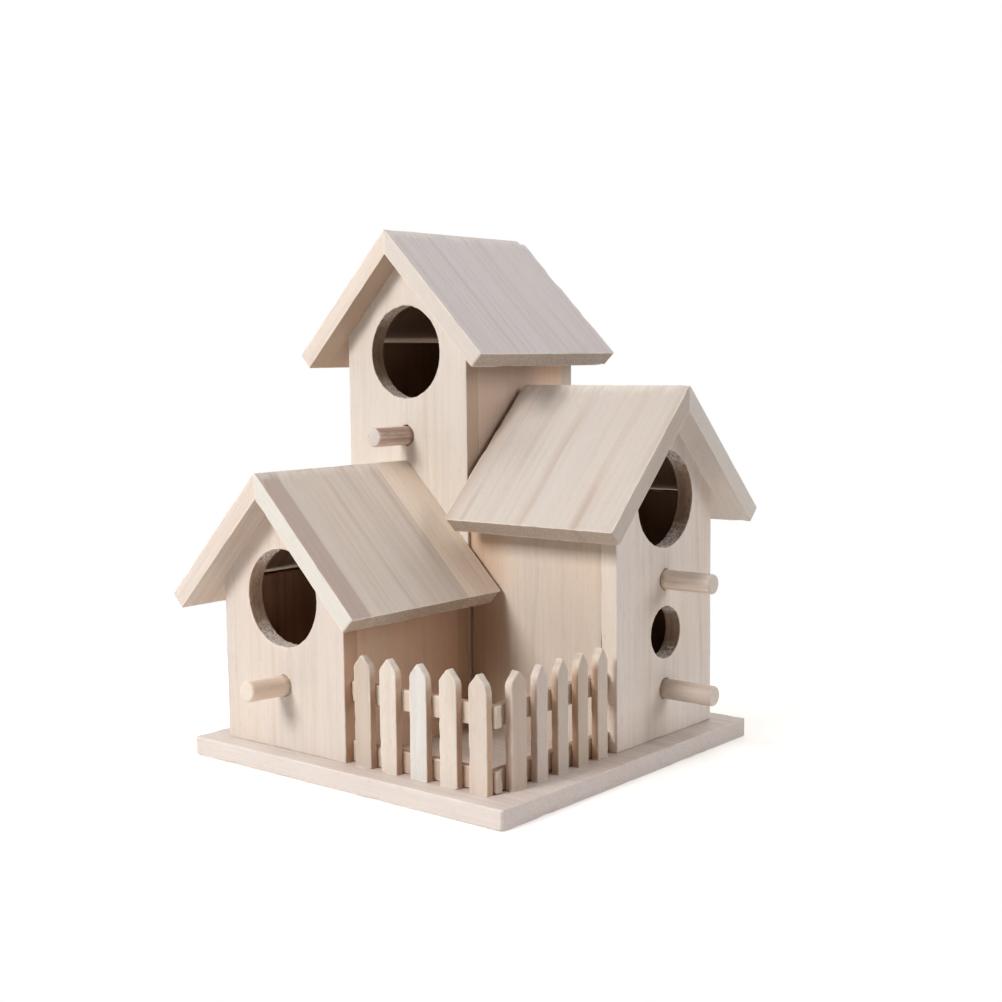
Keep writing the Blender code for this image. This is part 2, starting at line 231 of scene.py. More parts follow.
def turned(name, rings, axis_along_y):
    """A closed solid of rings, each a list of (radius, height along the axis) by angle."""
    shape = bmesh.new()
    loops = []
    for ring in rings:
        loop = []
        for step, (radius, height) in enumerate(ring):
            turn = math.tau * step / len(ring)
            x, up = radius * math.cos(turn), radius * math.sin(turn)
            loop.append(shape.verts.new((x, height, up) if axis_along_y else (x, -up, height)))
        loops.append(loop)
    for lower, upper in zip(loops, loops[1:]):
        for step in range(len(lower)):
            after = (step + 1) % len(lower)
            shape.faces.new((lower[step], lower[after], upper[after], upper[step]))
    shape.faces.new(loops[0])
    shape.faces.new(loops[-1])
    bmesh.ops.recalc_face_normals(shape, faces=shape.faces)
    return finished(name, shape)


def bore_mesh(name, radius, depth, tear, seed, blind=False):
    """What a drill takes out of a board, with a rounded rim and fibres torn at its end grain."""
    stops = [(-OVERRUN, RIM_RADIUS + OVERRUN)]
    for step in range(RIM_STEPS + 1):
        y = RIM_RADIUS * step / RIM_STEPS
        stops.append((y, RIM_RADIUS - math.sqrt(max(0, RIM_RADIUS * RIM_RADIUS - (RIM_RADIUS - y) ** 2))))
    last = depth if blind else depth - RIM_RADIUS
    for step in range(1, BORE_STEPS + 1):
        stops.append((RIM_RADIUS + (last - RIM_RADIUS) * step / BORE_STEPS, 0))
    if not blind:
        stops += [(depth, RIM_RADIUS), (depth + OVERRUN, RIM_RADIUS + OVERRUN)]
    rings = []
    for y, flare in stops:
        ring = []
        for step in range(HOLE_TURNS):
            turn = math.tau * step / HOLE_TURNS
            spot = Vector((radius * math.cos(turn), y * 0.5, radius * math.sin(turn)))
            end_grain = 0.25 + 0.75 * math.sin(turn) ** 4
            torn = noise.noise(spot * TEAR_SCALE + Vector((seed, 0, 0))) * tear * end_grain
            slow = noise.noise(spot * SWAY_SCALE + Vector((0, seed, 0))) * tear * 0.6
            ring.append((radius + flare + torn + slow, y))
        rings.append(ring)
    return turned(name, rings, axis_along_y=True)


def drill(mesh, bores):
    """Takes bores out of a board's mesh, all in one cut. Each is a mesh and where its axis stands."""
    bits = bmesh.new()
    for bore, (x, z) in bores:
        bore.transform(Matrix.Translation((x, 0, z)))
        bits.from_mesh(bore)
    board = bpy.data.objects.new("board_to_drill", mesh)
    cutter = bpy.data.objects.new("drill_bits", finished("drill_bits", bits))
    for item in (board, cutter):
        bpy.context.scene.collection.objects.link(item)
    opening = board.modifiers.new("openings", "BOOLEAN")
    opening.operation = "DIFFERENCE"
    opening.solver = "EXACT"
    opening.object = cutter
    seen = board.evaluated_get(bpy.context.evaluated_depsgraph_get())
    drilled = bpy.data.meshes.new_from_object(seen)
    for leftover in (board, cutter):
        bpy.data.objects.remove(leftover, do_unlink=True)
    return drilled


def write_wear(mesh, values):
    """Keeps how worn each point is, from 0 to 1, for the materials to read."""
    mesh.attributes.new("wear", "FLOAT", "POINT").data.foreach_set("value", values)


def mark_wear(mesh, sides, handled=lambda spot: True, rims=()):
    """Wears a board at its edges, where it is handled, and at the rims of its holes."""
    values = []
    for vert in mesh.vertices:
        distance = edge_distance(vert.co, sides)[0] if handled(vert.co) else WEAR_REACH
        for x, z, radius, y in rims:
            across = math.hypot(vert.co.x - x, vert.co.z - z) - radius
            distance = min(distance, math.hypot(across, vert.co.y - y))
        values.append(max(0, 1 - distance / WEAR_REACH))
    write_wear(mesh, values)


# Places

def placing(origin, inward, along):
    """The place of a board whose shown face looks away from inward, with its grain along."""
    inward, along = Vector(inward).normalized(), Vector(along).normalized()
    across = inward.cross(along)
    turn = Matrix((across, inward, along)).transposed().to_4x4()
    return Matrix.Translation(origin) @ turn


def wall_space(node_name, turn):
    """The space of a house or fence run whose outer face is the given node's outer face."""
    low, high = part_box(node_name)
    middle = (low + high) / 2
    origin = (high.x, middle.y, 0) if turn else (middle.x, low.y, 0)
    return Matrix.Translation(origin) @ Matrix.Rotation(turn, 4, "Z")


def box_in(space, node_name):
    """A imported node's lowest and highest corners in another space."""
    back = space.inverted()
    spots = [back @ Vector(corner) for corner in product(*zip(*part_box(node_name)))]
    return Vector(map(min, zip(*spots))), Vector(map(max, zip(*spots)))


def flatten_faces(board):
    """Shades a board's flat faces flat right up to its rounded edges."""
    board.modifiers.new("flat_faces", "WEIGHTED_NORMAL").keep_sharp = True
    graph = bpy.context.evaluated_depsgraph_get()
    mesh = bpy.data.meshes.new_from_object(board.evaluated_get(graph), depsgraph=graph,
                                           preserve_all_data_layers=True)
    board.modifiers.clear()
    board.data = mesh


def add_board(node_name, mesh, place, *more):
    """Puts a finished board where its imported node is, with its own wood and more materials."""
    mesh.shade_smooth()
    mesh.set_sharp_from_angle(angle=CRISP_ANGLE)
    for material in (pine_material(node_name, LOOKS[node_name]), *more):
        mesh.materials.append(material)
    board = bpy.data.objects.new(f"{node_name}_wood", mesh)
    bpy.context.scene.collection.objects.link(board)
    flatten_faces(board)
    board.matrix_world = place
    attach(board, "root")
    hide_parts(node_name)


# Node trees

def node(tree, kind, settings=None, **sockets):
    """One node, with its settings, and a value or a link for each named socket."""
    made = tree.nodes.new(kind)
    for name, value in (settings or {}).items():
        setattr(made, name, value)
    for name, value in sockets.items():
        socket = made.inputs[int(name[1:])] if name[0] == "i" and name[1:].isdigit() \
            else made.inputs[name.replace("_", " ")]
        if isinstance(value, bpy.types.NodeSocket):
            tree.links.new(value, socket)
        else:
            socket.default_value = value
    return made


def maths(tree, operation, *values, clamp=False):
    sockets = {f"i{index}": value for index, value in enumerate(values)}
    settings = {"operation": operation, "use_clamp": clamp}
    return node(tree, "ShaderNodeMath", settings, **sockets).outputs[0]


def times(tree, first, second):
    return maths(tree, "MULTIPLY", first, second)


def vectors(tree, operation, *values):
    sockets = {f"i{index}": value for index, value in enumerate(values)}
    made = node(tree, "ShaderNodeVectorMath", {"operation": operation}, **sockets)
    return made.outputs["Value" if operation == "LENGTH" else "Vector"]


def eased(tree, value, low, high, to_low=0.0, to_high=1.0):
    made = node(tree, "ShaderNodeMapRange", {"interpolation_type": "SMOOTHSTEP"},
                Value=value, From_Min=low, From_Max=high, To_Min=to_low, To_Max=to_high)
    return made.outputs["Result"]


def mixed(tree, factor, first, second, mode="MIX"):
    settings = {"data_type": "RGBA", "blend_type": mode}
    return node(tree, "ShaderNodeMix", settings, i0=factor, i6=first, i7=second).outputs[2]


def grained(tree, position, seed, scales, detail, rough=0.5):
    """A noise that is drawn out by its own scale along each axis."""
    stretched = vectors(tree, "MULTIPLY", position, scales)
    moved = vectors(tree, "ADD", stretched, seed)
    made = node(tree, "ShaderNodeTexNoise", None, Vector=moved, Scale=1.0, Detail=detail,
                Roughness=rough)
    return made.outputs["Fac"]


PLACED = (("Position", "Vector"), ("Seed", "Vector"))


def new_group(name, *inputs):
    """A node group with its inputs, and what they give inside it."""
    group = bpy.data.node_groups.new(name, "ShaderNodeTree")
    for label, kind in inputs:
        group.interface.new_socket(label, in_out="INPUT", socket_type=f"NodeSocket{kind}")
    given = group.nodes.new("NodeGroupInput").outputs
    return group, given, given["Position"], given.get("Seed")


def closed(group, **results):
    """Gives a node group its outputs."""
    for label in results:
        label = label.replace("_", " ")
        group.interface.new_socket(label, in_out="OUTPUT", socket_type="NodeSocketFloat")
    end = group.nodes.new("NodeGroupOutput")
    for socket, value in zip(end.inputs, results.values()):
        group.links.new(value, socket)
    return group


def rings_group():
    """Growth rings about the heart of the tree, cut by the board wherever its faces lie."""
    group, given, position, seed = new_group("Growth Rings", *PLACED, ("Heart", "Vector"),
                                             ("Spacing", "Float"), ("Wander", "Float"))
    sway = vectors(group, "ADD", vectors(group, "MULTIPLY", position, (26, 26, 7)), seed)
    drift = node(group, "ShaderNodeTexNoise", None, Vector=sway, Scale=1.0, Detail=2.0)
    centred = vectors(group, "SUBTRACT", drift.outputs["Color"], (0.5, 0.5, 0.5))
    scaled = node(group, "ShaderNodeVectorMath", {"operation": "SCALE"}, Vector=centred,
                  Scale=given["Wander"]).outputs["Vector"]
    bent = vectors(group, "ADD", vectors(group, "SUBTRACT", position, given["Heart"]), scaled)
    flat = vectors(group, "MULTIPLY", bent, (1, 1, 0))
    even = maths(group, "DIVIDE", vectors(group, "LENGTH", flat), given["Spacing"])
    slow = node(group, "ShaderNodeCombineXYZ", None, X=times(group, even, 0.6)).outputs[0]
    years = node(group, "ShaderNodeTexNoise", None, Scale=1.0, Detail=1.0,
                 Vector=vectors(group, "ADD", slow, seed))
    turn = maths(group, "ADD", even, times(group, years.outputs["Fac"], 1.1))
    through = maths(group, "FRACT", turn)
    rising = eased(group, through, 0.58, 0.86)
    falling = eased(group, through, 0.86, 1.0, 1.0, 0.0)
    number = node(group, "ShaderNodeCombineXYZ", None, X=maths(group, "FLOOR", turn)).outputs[0]
    chance = node(group, "ShaderNodeTexWhiteNoise", {"noise_dimensions": "3D"},
                  Vector=vectors(group, "ADD", seed, number))
    strength = eased(group, chance.outputs["Value"], 0.1, 0.9, 0.05, 1.0)
    fading = eased(group, grained(group, position, seed, (60, 60, 20), 1.0), 0.36, 0.62, 0.1, 1.0)
    line = times(group, times(group, rising, falling), times(group, strength, fading))
    return closed(group, Latewood=line)


def fibre_group():
    """Fine fibres, broad soft streaks and short open pores, all drawn out along the grain."""
    group, _, position, seed = new_group("Wood Fibre", *PLACED)
    dots = grained(group, position, seed, (3200, 3200, 260), 1.0)
    return closed(group, Fibre=grained(group, position, seed, (1500, 1500, 42), 3.0),
                  Streaks=grained(group, position, seed, (420, 420, 9), 3.0, 0.55),
                  Pores=eased(group, dots, 0.6, 0.72))


def cut_ends_group():
    """Where a board is cut across its grain or ripped along it, its inner face, and rough speckle."""
    group, given, position, seed = new_group("Cut Ends", *PLACED, ("Normal", "Vector"))
    facing = node(group, "ShaderNodeSeparateXYZ", None, Vector=given["Normal"]).outputs
    across, aside = maths(group, "ABSOLUTE", facing["Z"]), maths(group, "ABSOLUTE", facing["X"])
    speckle = grained(group, position, seed, (1300, 1300, 400), 3.0, 0.6)
    return closed(group, Across_Grain=eased(group, across, 0.45, 0.9),
                  Sawn_Side=eased(group, aside, 0.74, 0.96),
                  Inner_Face=eased(group, facing["Y"], 0.74, 0.96),
                  Speckle=eased(group, speckle, 0.36, 0.62))


def patches_group():
    """Slow changes of tone over a board, drawn out along its grain."""
    group, _, position, seed = new_group("Tone Patches", *PLACED)
    first = grained(group, position, seed, (38, 38, 12), 2.0)
    other = vectors(group, "ADD", seed, (19, 7, 3))
    second = grained(group, position, other, (55, 55, 6), 2.0)
    return closed(group, Warm=eased(group, first, 0.4, 0.68), Grey=eased(group, second, 0.42, 0.66))


def wear_group():
    """Broken-up wear along the sanded edges."""
    group, given, position, seed = new_group("Edge Wear", *PLACED, ("Wear", "Float"))
    broken = grained(group, position, seed, (420, 420, 160), 3.0)
    shifted = maths(group, "ADD", given["Wear"], maths(group, "MULTIPLY_ADD", broken, 1.2, -0.75))
    return closed(group, Worn=eased(group, shifted, 0.2, 1.0))


def strips_group():
    """The strips that a wide board is glued up from: masks of its first and last strip. With a wide blur
    the same masks also lay soft bands of painted shade and painted light along a board's ends.
    """
    group, given, position, _ = new_group("Glued Strips", ("Position", "Vector"), ("First Joint", "Float"),
                                          ("Last Joint", "Float"), ("Blur", "Float"))
    across = node(group, "ShaderNodeSeparateXYZ", None, Vector=position).outputs["X"]
    before = maths(group, "SUBTRACT", given["First Joint"], across)
    after = maths(group, "SUBTRACT", across, given["Last Joint"])
    blur = given["Blur"]
    behind = times(group, blur, -1.0)
    nearest = maths(group, "MINIMUM", maths(group, "ABSOLUTE", before), maths(group, "ABSOLUTE", after))
    return closed(group, First_Strip=eased(group, before, behind, blur),
                  Last_Strip=eased(group, after, behind, blur),
                  Joint=eased(group, nearest, 0.0, 0.0006, 1.0, 0.0))


GROUPS = {
    "rings": rings_group(),
    "fibre": fibre_group(),
    "ends": cut_ends_group(),
    "patches": patches_group(),
    "wear": wear_group(),
    "strips": strips_group(),
}


def effect(tree, name, **sockets):
    return node(tree, "ShaderNodeGroup", {"node_tree": GROUPS[name]}, **sockets).outputs


@dataclass
class Pine:
    """How one board looks. Strengths run from 0 to 1."""
    body: tuple = (0.80, 0.705, 0.62)
    latewood: tuple = (0.56, 0.42, 0.31)
    warm: tuple = (0.80, 0.655, 0.53)
    grey: tuple = (0.66, 0.59, 0.53)
    cut: tuple = (0.62, 0.50, 0.40)
    # Tone of a board's ripped sides: their own colour on some boards, and on others a brown that is painted
    # shade.
    side_tone_and_shade: tuple = (0.60, 0.42, 0.29)
    worn: tuple = (0.86, 0.78, 0.69)
    seed: float = 0.0
    heart: tuple = (0.03, 0.09, 0)
    spacing: float = 0.0075
    wander: float = 0.012
    ring_strength: float = 0.3
    streak_strength: float = 0.35
    warm_strength: float = 0.35
    grey_strength: float = 0.25
    pore_strength: float = 0.3
    cut_strength: float = 0.6
    speckle: float = 0.5
    side_tone_and_shade_strength: float = 0.0
    # Tone of a board's back face; on two roof boards it is painted shade and painted light on the
    # underside.
    inner: tuple = (0.66, 0.52, 0.41)
    inner_strength: float = 0.0
    worn_strength: float = 0.6
    first_joint: float = -1.0
    last_joint: float = 1.0
    joint_blur: float = 0.0003
    joint_strength: float = 0.3
    # Tints of the first and last strip: a glued strip's own tone, and on some boards painted shade (first)
    # and painted light (last).
    first_tint_and_shade: tuple = (0.8, 0.76, 0.74)
    last_tint_and_light: tuple = (1.0, 0.94, 0.9)
    roughness: float = 0.62
    relief: float = 0.5


def rgba(colour):
    return (*colour, 1.0)


def tinted(tree, colour, mask, strength, tone):
    """A colour that turns to a tone where the mask is."""
    return mixed(tree, times(tree, mask, strength), colour, rgba(tone))


def pine_material(name, look):
    """Bare sanded wood. The board's own space carries the grain, so all its faces agree."""
    material = bpy.data.materials.new(name)
    material.use_nodes = True
    tree = material.node_tree
    shader = tree.nodes["Principled BSDF"]
    spot = tree.nodes.new("ShaderNodeTexCoord")
    position = spot.outputs["Object"]
    seed = (look.seed * 3.1, look.seed * 5.3, look.seed * 1.9)
    rings = effect(tree, "rings", Position=position, Seed=seed, Heart=look.heart,
                   Spacing=look.spacing, Wander=look.wander)
    fibre = effect(tree, "fibre", Position=position, Seed=seed)
    ends = effect(tree, "ends", Normal=spot.outputs["Normal"], Position=position, Seed=seed)
    patches = effect(tree, "patches", Position=position, Seed=seed)
    wear_value = node(tree, "ShaderNodeAttribute", {"attribute_name": "wear"}).outputs["Fac"]
    worn = effect(tree, "wear", Wear=wear_value, Position=position, Seed=seed)["Worn"]
    strips = effect(tree, "strips", Position=position, First_Joint=look.first_joint,
                    Last_Joint=look.last_joint, Blur=look.joint_blur)

    colour = rgba(look.body)
    for mask, strength, tone in (
            (patches["Warm"], look.warm_strength, look.warm),
            (patches["Grey"], look.grey_strength, look.grey),
            (eased(tree, fibre["Streaks"], 0.42, 0.72), look.streak_strength, look.latewood),
            (rings["Latewood"], look.ring_strength, look.latewood)):
        colour = tinted(tree, colour, mask, strength, tone)
    # Tints at a board's first and last strip: a glued strip's own tone, and on some boards painted shade
    # and painted light.
    for strip, tint in (("First Strip", look.first_tint_and_shade), ("Last Strip", look.last_tint_and_light)):
        strip_tone_light_and_shade = mixed(tree, 1.0, colour, rgba(tint), "MULTIPLY")
        colour = mixed(tree, strips[strip], colour, strip_tone_light_and_shade)
    colour = tinted(tree, colour, strips["Joint"], look.joint_strength, look.latewood)
    rough_cut = maths(tree, "MULTIPLY_ADD", ends["Speckle"], look.speckle,
                      look.cut_strength - look.speckle / 2)
    across = maths(tree, "MULTIPLY", ends["Across Grain"], rough_cut, clamp=True)
    colour = mixed(tree, across, colour, rgba(look.cut))
    # The ripped sides: their own tone, and on some boards a brown that is painted shade.
    colour = tinted(tree, colour, ends["Sawn Side"], look.side_tone_and_shade_strength, look.side_tone_and_shade)
    # The back face: painted shade and painted light on the undersides of two roof boards.
    colour = tinted(tree, colour, ends["Inner Face"], look.inner_strength, look.inner)
    colour = tinted(tree, colour, fibre["Pores"], look.pore_strength, look.latewood)
    fine = maths(tree, "MULTIPLY_ADD", fibre["Fibre"], 0.14, 0.93)
    fine_tone = node(tree, "ShaderNodeCombineColor", None, Red=fine, Green=fine, Blue=fine).outputs[0]
    colour = mixed(tree, 1.0, colour, fine_tone, "MULTIPLY")
    colour = tinted(tree, colour, worn, look.worn_strength, look.worn)
    tree.links.new(colour, shader.inputs["Base Color"])

    rough = maths(tree, "MULTIPLY_ADD", fibre["Fibre"], 0.2, look.roughness - 0.1)
    rough = maths(tree, "ADD", rough, times(tree, ends["Across Grain"], 0.15), clamp=True)
    tree.links.new(rough, shader.inputs["Roughness"])
    shader.inputs["Specular IOR Level"].default_value = 0.3

    long_grain = maths(tree, "MULTIPLY_ADD", rings["Latewood"], 0.5, fibre["Fibre"])
    end_grain = times(tree, ends["Speckle"], ends["Across Grain"])
    height = maths(tree, "MULTIPLY_ADD", end_grain, 1.2, long_grain)
    height = maths(tree, "SUBTRACT", height, times(tree, fibre["Pores"], 0.5))
    bump = node(tree, "ShaderNodeBump", None, Strength=look.relief, Distance=0.00012, Height=height)
    tree.links.new(bump.outputs["Normal"], shader.inputs["Normal"])
    return material


WALL = Pine(heart=(-0.09, 0.10, 0), ring_strength=0.25, streak_strength=0.18)
# Painted shade: a darker, browner wall with brown sides, for walls that stand in shade.
SHADE_BROWN_WALL = replace(WALL, body=(0.68, 0.47, 0.34), warm=(0.64, 0.41, 0.28), side_tone_and_shade=(0.62, 0.42, 0.29),
                     side_tone_and_shade_strength=0.8)
ROOF = Pine(body=(0.72, 0.635, 0.56), latewood=(0.52, 0.39, 0.31), warm=(0.74, 0.61, 0.50),
            cut=(0.42, 0.32, 0.24), spacing=0.0085, wander=0.009, ring_strength=0.5,
            streak_strength=0.25, heart=(-0.14, 0.06, 0))
# Painted shade: the brown sides of the pickets and rails.
FENCE = Pine(body=(0.70, 0.65, 0.60), spacing=0.0035, streak_strength=0.15, warm_strength=0.3,
             side_tone_and_shade=(0.54, 0.35, 0.23), side_tone_and_shade_strength=0.85, pore_strength=0.4)
BASE = Pine(body=(0.70, 0.63, 0.59), warm=(0.70, 0.55, 0.48), warm_strength=0.55, grey_strength=0.4,
            latewood=(0.52, 0.39, 0.33), spacing=0.006, ring_strength=0.4, streak_strength=0.35,
            side_tone_and_shade=(0.72, 0.66, 0.62), side_tone_and_shade_strength=0.8, cut=(0.78, 0.70, 0.68), cut_strength=0.6)
DOWEL = Pine(body=(0.88, 0.72, 0.60), latewood=(0.55, 0.40, 0.29), spacing=0.0022,
             worn=(0.46, 0.37, 0.24), worn_strength=0.9,
             heart=(0.002, 0.01, 0), cut=(0.74, 0.66, 0.58), cut_strength=0.9, roughness=0.5)
# Painted shade: the dark brown of every face inside a house, and of a side wall's top under its roof.
INSIDE_SHADE = Pine(body=(0.33, 0.20, 0.12), latewood=(0.18, 0.10, 0.06), warm=(0.34, 0.19, 0.11),
              grey=(0.24, 0.15, 0.10), cut=(0.13, 0.07, 0.04), worn=(0.26, 0.15, 0.09))
# What the drill has cut: a darker brown, partly the cut wood's own tone and partly painted shade, with pale
# end grain.
BORE = Pine(body=(0.50, 0.36, 0.27), latewood=(0.24, 0.15, 0.10), warm=(0.50, 0.33, 0.22),
            grey=(0.40, 0.31, 0.25), cut=(1.0, 0.94, 0.88), cut_strength=0.75, speckle=1.3,
            streak_strength=0.6, pore_strength=0.8, worn=(0.78, 0.68, 0.58), relief=1.0)

def seeded(looks, seeds):
    """The same looks, each with a seed of its own."""
    return {name: replace(look, seed=seed) for (name, look), seed in zip(looks.items(), seeds)}


LOOKS = seeded({
    "base_board": BASE,
    # Painted shade: the brown of this wall's sides.
    "front_house_front_wall": replace(WALL, body=(0.685, 0.62, 0.57), side_tone_and_shade=(0.57, 0.37, 0.25),
                                      side_tone_and_shade_strength=0.95),
    # The same painted shade brown as the right wall.
    "front_house_back_wall": SHADE_BROWN_WALL,
    "front_house_left_wall": WALL,
    # Painted shade: this wall in the yard is brown all over.
    "front_house_right_wall": replace(SHADE_BROWN_WALL, body=(0.75, 0.52, 0.375), warm=(0.71, 0.46, 0.31)),
    "front_house_left_roof": replace(ROOF, body=(0.76, 0.67, 0.60)),
    # Its first strip is a greyer glued strip; its last strip is partly a lighter strip of its own and
    # partly painted light.
    "front_house_right_roof": replace(
        ROOF, first_joint=0.0095, last_joint=0.062, first_tint_and_shade=(0.76, 0.70, 0.71),
        last_tint_and_light=(1.30, 1.27, 1.20), body=(0.68, 0.60, 0.53), spacing=0.012,
        side_tone_and_shade=(0.74, 0.71, 0.66), side_tone_and_shade_strength=0.9),
    "front_house_perch": DOWEL,
    "tall_house_front_wall": replace(WALL, body=(0.715, 0.65, 0.585), side_tone_and_shade=(0.50, 0.36, 0.26),
                                     side_tone_and_shade_strength=0.9, worn_strength=0.2),
    "tall_house_back_wall": WALL,
    "tall_house_left_wall": WALL,
    # Painted shade brown over the wall, and painted light on its back part under the eave.
    "tall_house_right_wall": replace(
        SHADE_BROWN_WALL, body=(0.62, 0.475, 0.38), warm=(0.60, 0.44, 0.34), last_joint=0.036,
        joint_blur=0.008, joint_strength=0, last_tint_and_light=(1.5, 1.45, 1.4)),
    # Painted shade: the underside of this roof board is browner.
    "tall_house_left_roof": replace(ROOF, body=(0.76, 0.67, 0.59), inner=(0.48, 0.35, 0.25),
                                    inner_strength=0.8),
    "tall_house_right_roof": replace(
        ROOF, body=(0.67, 0.61, 0.60), warm=(0.66, 0.58, 0.56), latewood=(0.47, 0.39, 0.36),
        ring_strength=0.3, side_tone_and_shade=(0.68, 0.61, 0.55), side_tone_and_shade_strength=0.85),
    "tall_house_perch": replace(
        DOWEL, body=(0.74, 0.56, 0.47), latewood=(0.26, 0.15, 0.11), cut=(0.68, 0.62, 0.59),
        ring_strength=0.6, streak_strength=0.75, pore_strength=0.7, worn=(0.24, 0.14, 0.10)),
    "side_house_front_wall": replace(WALL, body=(0.84, 0.765, 0.72), side_tone_and_shade=(0.80, 0.70, 0.61),
                                     side_tone_and_shade_strength=0.8),
    # Painted shade: the brown of this wall's sides.
    "side_house_back_wall": replace(WALL, body=(0.78, 0.67, 0.57), side_tone_and_shade=(0.55, 0.38, 0.26),
                                    side_tone_and_shade_strength=0.9, worn_strength=0.3),
    # Painted shade: a soft brown band at the wall's end in the corner by the front house.
    "side_house_left_wall": replace(
        WALL, body=(0.73, 0.63, 0.54), warm=(0.76, 0.58, 0.44), warm_strength=0.5,
        first_joint=0.008, joint_blur=0.006, joint_strength=0, first_tint_and_shade=(0.84, 0.74, 0.65)),
    "side_house_right_wall": WALL,
    # Painted shade: a soft darker band at the roof's end under the tall house's eave.
    "side_house_left_roof": replace(
        ROOF, body=(0.63, 0.565, 0.515), warm=(0.65, 0.55, 0.47), first_joint=0.003,
        joint_blur=0.004, joint_strength=0, first_tint_and_shade=(0.84, 0.76, 0.69), spacing=0.013,
        latewood=(0.44, 0.31, 0.23), ring_strength=0.55, streak_strength=0.15),
    # Painted light: the underside of this roof board is paler.
    "side_house_right_roof": replace(
        ROOF, body=(0.74, 0.67, 0.62), side_tone_and_shade=(0.76, 0.70, 0.65), side_tone_and_shade_strength=0.8,
        inner=(0.90, 0.83, 0.78), inner_strength=0.9),
    # Painted light: the upper perch is made paler against the shade that the roof throws on it.
    "side_house_upper_perch": replace(DOWEL, body=(0.98, 0.86, 0.79), streak_strength=0.5),
    "side_house_lower_perch": replace(DOWEL, body=(0.50, 0.42, 0.365)),
    "fence_front_picket_1": replace(FENCE, body=(0.50, 0.42, 0.365)),
    "fence_front_picket_2": FENCE,
    "fence_front_picket_3": replace(FENCE, body=(0.71, 0.69, 0.66)),
    "fence_front_picket_4": FENCE,
    "fence_front_picket_5": replace(FENCE, body=(0.65, 0.575, 0.52)),
    # Painted shade: the lower rail is darker brown.
    "fence_front_lower_rail": replace(FENCE, body=(0.54, 0.40, 0.31)),
    "fence_front_upper_rail": replace(FENCE, body=(0.68, 0.56, 0.46)),
    "fence_side_picket_1": replace(FENCE, body=(0.57, 0.455, 0.40), side_tone_and_shade_strength=0.3),
    "fence_side_picket_2": replace(FENCE, body=(0.65, 0.555, 0.51), side_tone_and_shade_strength=0.45),
    "fence_side_picket_3": replace(FENCE, body=(0.60, 0.515, 0.45)),
    "fence_side_picket_4": replace(FENCE, body=(0.57, 0.48, 0.39)),
    "fence_side_picket_5": replace(FENCE, body=(0.62, 0.535, 0.47)),
    # Painted shade: the side rails are darker brown.
    "fence_side_lower_rail": replace(FENCE, body=(0.52, 0.36, 0.26)),
    "fence_side_upper_rail": replace(FENCE, body=(0.56, 0.41, 0.30)),
}, (*range(1, 24), *range(41, 55)))

# The painted shade inside each house.
INSIDE_SHADE_LOOKS = seeded({
    "front_house": replace(INSIDE_SHADE, body=(0.52, 0.32, 0.20), warm=(0.52, 0.30, 0.18)),
    "tall_house": INSIDE_SHADE,
    "side_house": INSIDE_SHADE,
}, range(30, 33))
BORE_LOOKS = seeded({
    "front_house": replace(BORE, body=(0.66, 0.48, 0.36), warm=(0.64, 0.43, 0.30)),
    "tall_house": replace(BORE, body=(0.38, 0.27, 0.20), cut=(0.80, 0.72, 0.64)),
    "side_house": BORE,
}, range(33, 36))
INSIDE_SHADE_WOODS = {name: pine_material(f"{name}_inside", look) for name, look in INSIDE_SHADE_LOOKS.items()}
BORE_WOODS = {name: pine_material(f"{name}_bore", look) for name, look in BORE_LOOKS.items()}


# Pieces

@dataclass
class Entrance:
    """A round way in. Its height is measured from the underside of the base."""
    radius: float
    height: float
    perch: str
    perch_tilt: float = 0.0


@dataclass
class House:
    """A house. Its gables' edges are worn above the height at which they stand free."""
    name: str
    turn: float
    free_above: dict
    entrances: tuple
    ridge_round: float = 0.0005
    worn_ridge: float = 0.0008
    worn_eave: float = 0.0010
    cut_short: float = 0


HOUSES = (
    House("front_house", 0, {"front": 0, "back": 1},
          (Entrance(0.0186, 0.0649, "front_house_perch", math.radians(2.5)),)),
    House("side_house", SIDEWAYS, {"front": 0, "back": 1},
          (Entrance(0.0187, 0.0994, "side_house_upper_perch"),
           Entrance(0.0101, 0.0478, "side_house_lower_perch")),
          worn_eave=0.0022, cut_short=0.0018),
    House("tall_house", 0, {"front": 0.112, "back": 0},
          (Entrance(0.0187, 0.1563, "tall_house_perch"),),
          ridge_round=0.0006, worn_ridge=0.0042),
)


def all_sanded(edge):
    return SANDED


def blunted(corners, cuts):
    """An outline whose corners are turned to arcs. Each cut is the length that its sides lose."""
    points = []
    for index, (corner, cut) in enumerate(zip(corners, cuts)):
        if not cut:
            points.append(corner)
            continue
        here = Vector(corner)
        back = (Vector(corners[index - 1]) - here).normalized()
        onward = (Vector(corners[(index + 1) % len(corners)]) - here).normalized()
        turn = math.pi - back.angle(onward)
        centre = here + (back + onward).normalized() * cut / math.sin(turn / 2)
        steps = math.ceil(turn / ARC_STEP)
        for step in range(steps + 1):
            spoke = Matrix.Rotation(turn * step / steps, 2) @ (here + back * cut - centre)
            points.append(tuple(centre + spoke))
    return points


def plate(name, corners, thickness, radius_of, kind, seed):
    """A board whose outline is drawn on its shown face, and the sides that it had when sharp."""
    shape = pushed([(x, 0, z) for x, z in corners], (0, thickness, 0))
    sides = sides_of(shape)
    sand(shape, radius_of)
    cut_grid(shape, sides, kind)
    use_board(shape, sides, kind, seed)
    return finished(name, shape), sides


def paint_inside_shade(mesh, test):
    """Gives a board's faces inside the house the second material, a dark brown that is painted shade."""
    for face in mesh.polygons:
        if test(face.center, face.normal):
            face.material_index = 1


